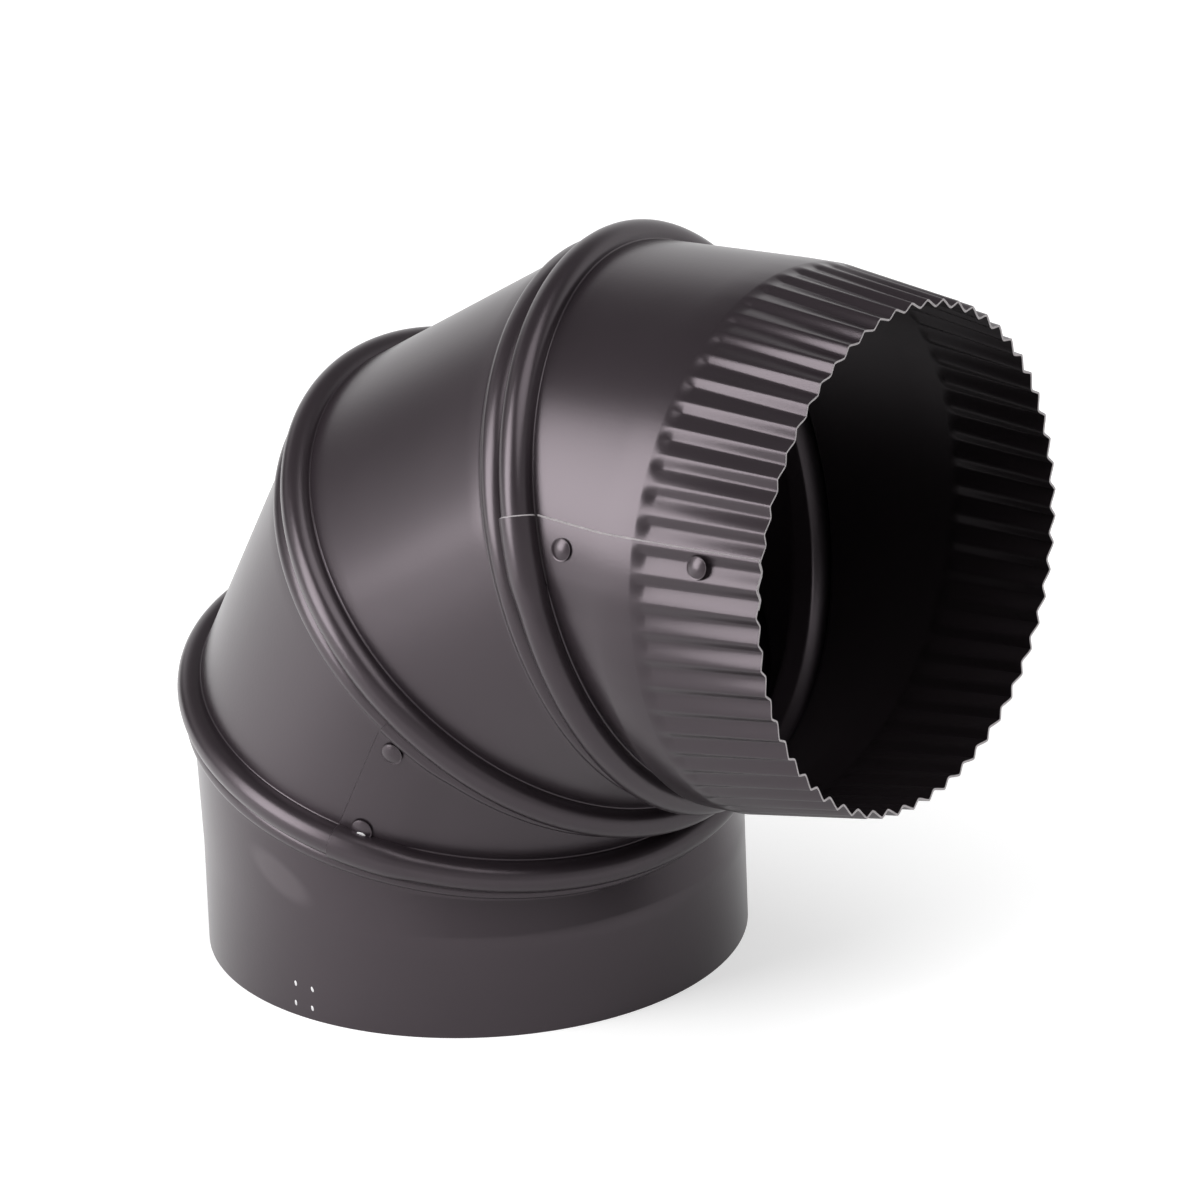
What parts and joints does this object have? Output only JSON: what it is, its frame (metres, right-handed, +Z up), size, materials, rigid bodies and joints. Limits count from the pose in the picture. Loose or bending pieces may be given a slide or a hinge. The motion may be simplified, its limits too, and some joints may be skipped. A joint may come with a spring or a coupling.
{
  "type": "adjustable stove pipe elbow",
  "caption": "Adjustable stove pipe elbow in satin black sheet steel, with swivelling gores, rolled beads, riveted lap seams and a crimped end.",
  "frame": {"origin": "centre of the plain end's opening, on the surface that it stands on", "axes": "+Z up along the plain end's axis, +X the way the crimped end opens"},
  "size_m": [0.2359, 0.1691, 0.2199],
  "materials": {
    "black_sheet": "satin black stove paint",
    "rivet": "satin black stove paint"
  },
  "bodies": {
    "lower_collar_body": {"lower_collar": "black_sheet", "lower_collar_rivets": "rivet"},
    "lower_gore_body": {"lower_gore": "black_sheet", "lower_gore_rivets": "rivet"},
    "upper_gore_body": {"upper_gore": "black_sheet", "upper_gore_rivets": "rivet"},
    "crimped_collar_body": {"crimped_collar": "black_sheet", "crimped_collar_rivets": "rivet"}
  },
  "joints": [
    {"name": "lower_swivel", "type": "hinge", "parent": "lower_collar_body", "child": "lower_gore_body", "pos_m": [0, 0, 0.066], "axis": [0.2506, -0.0648, 0.9659], "continuous": true},
    {"name": "middle_swivel", "type": "hinge", "parent": "lower_gore_body", "child": "upper_gore_body", "pos_m": [0.02622, -0.00153, 0.11251], "axis": [0.6978, 0.0096, 0.7162], "continuous": true},
    {"name": "upper_swivel", "type": "hinge", "parent": "upper_gore_body", "child": "crimped_collar_body", "pos_m": [0.07182, 0.0023, 0.14007], "axis": [0.9511, 0.1286, 0.2807], "continuous": true}
  ]
}
